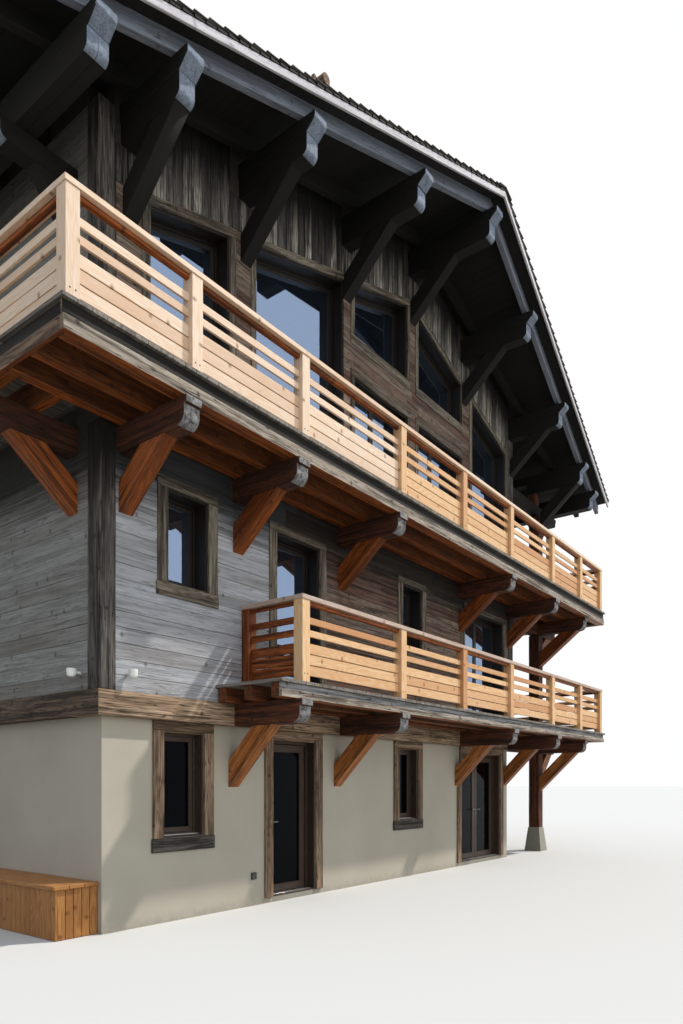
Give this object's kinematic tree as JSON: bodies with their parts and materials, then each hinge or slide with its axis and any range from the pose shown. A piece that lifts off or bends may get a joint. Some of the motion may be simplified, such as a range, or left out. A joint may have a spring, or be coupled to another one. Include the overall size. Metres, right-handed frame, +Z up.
{
  "type": "chalet",
  "caption": "Alpine chalet with a rendered ground storey, two timber storeys, larch balconies on carved brackets, an open side gallery and a low shingled roof with deep prow eaves.",
  "frame": {"origin": "on the ground under the ridge, half way between the two gables", "axes": "+X along the gable front to the right as seen from in front, +Y into the house, +Z up"},
  "size_m": [15.2, 14.66, 11],
  "materials": {
    "render": "matte",
    "concrete": "matte",
    "dark_beams": "matte",
    "floor_timber": "matte",
    "weathered_planks": "matte",
    "roof_shingles": "matte",
    "grey_boards": "matte",
    "stained_larch": "satin",
    "pale_larch": "satin",
    "frame_wood": "satin",
    "surround_boards": "matte",
    "window_glass": "gloss",
    "lamp_housing": "satin",
    "socket_plastic": "matte"
  },
  "bodies": {
    "house": {"ground_front_wall_left": "render", "ground_front_wall_middle": "render", "ground_front_wall_right": "render", "door_lintels": "render", "ground_side_walls": "render", "ground_back_wall": "render", "ground_floor": "concrete", "log_ring": "dark_beams", "first_floor": "floor_timber", "second_floor": "floor_timber", "middle_front_wall": "weathered_planks", "gable_front_wall": "weathered_planks", "timber_side_walls": "weathered_planks", "back_timber_wall": "weathered_planks", "corner_posts": "dark_beams", "roof_left": "roof_shingles", "roof_right": "roof_shingles", "rafters": "dark_beams", "purlins": "dark_beams", "purlin_brackets": "dark_beams", "eaves_consoles": "dark_beams", "verge_boards": "grey_boards", "snow_guards": "grey_boards", "lower_brackets": "stained_larch", "lower_railing": "pale_larch", "upper_brackets": "stained_larch", "upper_railing": "pale_larch", "balcony_joists": "stained_larch", "balcony_fascias": "grey_boards", "balcony_decks": "pale_larch", "gallery_posts": "stained_larch", "post_piers": "concrete", "window_frames": "frame_wood", "window_glass": "window_glass", "opening_surrounds": "surround_boards", "door_frames": "frame_wood", "bench": "pale_larch", "wall_lamps": "lamp_housing", "wall_socket": "socket_plastic"},
    "garden_door": {"garden_door_leaf": "frame_wood", "garden_door_glass": "window_glass"},
    "terrace_door_left": {"terrace_leaf_left": "frame_wood", "terrace_glass_left": "window_glass"},
    "terrace_door_right": {"terrace_leaf_right": "frame_wood", "terrace_glass_right": "window_glass"}
  },
  "joints": [
    {"name": "garden_door_hinge", "type": "hinge", "parent": "house", "child": "garden_door", "pos_m": [-2.60014, -5.291, 1], "axis": [0, 0, -1], "range_deg": [0, 90]},
    {"name": "terrace_door_left_hinge", "type": "hinge", "parent": "house", "child": "terrace_door_left", "pos_m": [1.96505, -5.291, 1], "axis": [0, 0, 1], "range_deg": [0, 90]},
    {"name": "terrace_door_right_hinge", "type": "hinge", "parent": "house", "child": "terrace_door_right", "pos_m": [3.57505, -5.291, 1], "axis": [0, 0, -1], "range_deg": [0, 90]}
  ]
}
